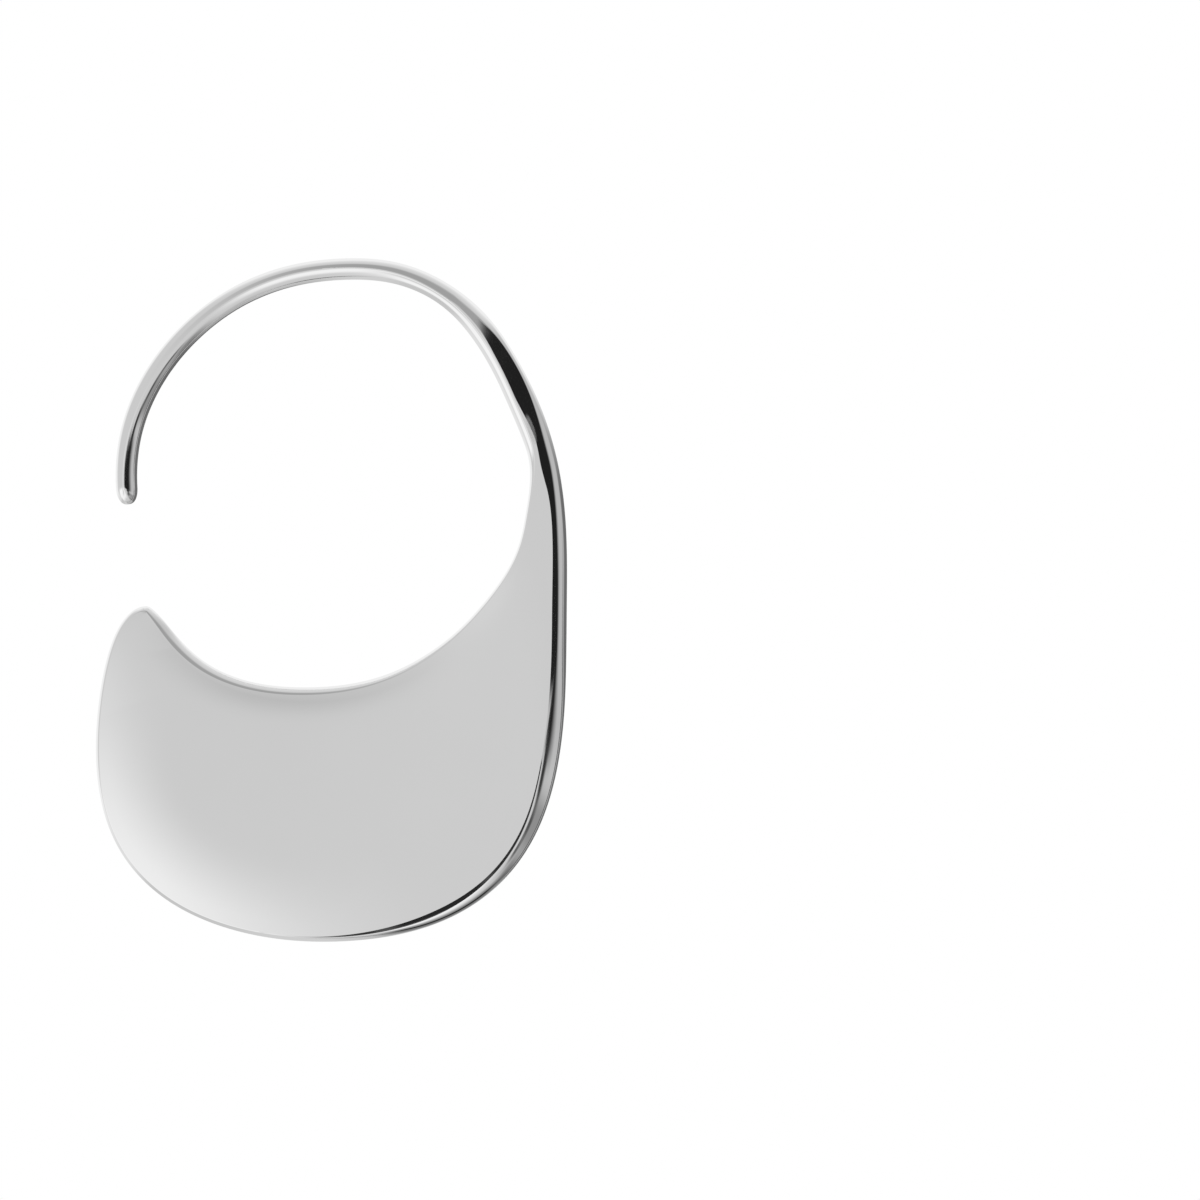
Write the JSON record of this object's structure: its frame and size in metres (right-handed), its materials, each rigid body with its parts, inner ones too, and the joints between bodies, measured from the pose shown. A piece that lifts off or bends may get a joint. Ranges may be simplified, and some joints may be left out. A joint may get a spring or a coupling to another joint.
{
  "type": "open crescent hoop earring",
  "caption": "Open crescent hoop earring in polished silver: a round ear wire that spreads into a flat crescent plate.",
  "frame": {"origin": "middle of the outline's box, on the surface that the flat back rests on", "axes": "+Y from the crescent plate towards the arch of the ear wire, +X towards the heel where the wire joins the plate, +Z out of the face"},
  "size_m": [0.023, 0.0334, 0.001],
  "materials": {
    "polished_silver": "mirror polish"
  },
  "bodies": {
    "root": {"crescent_hoop": "polished_silver"}
  },
  "joints": []
}
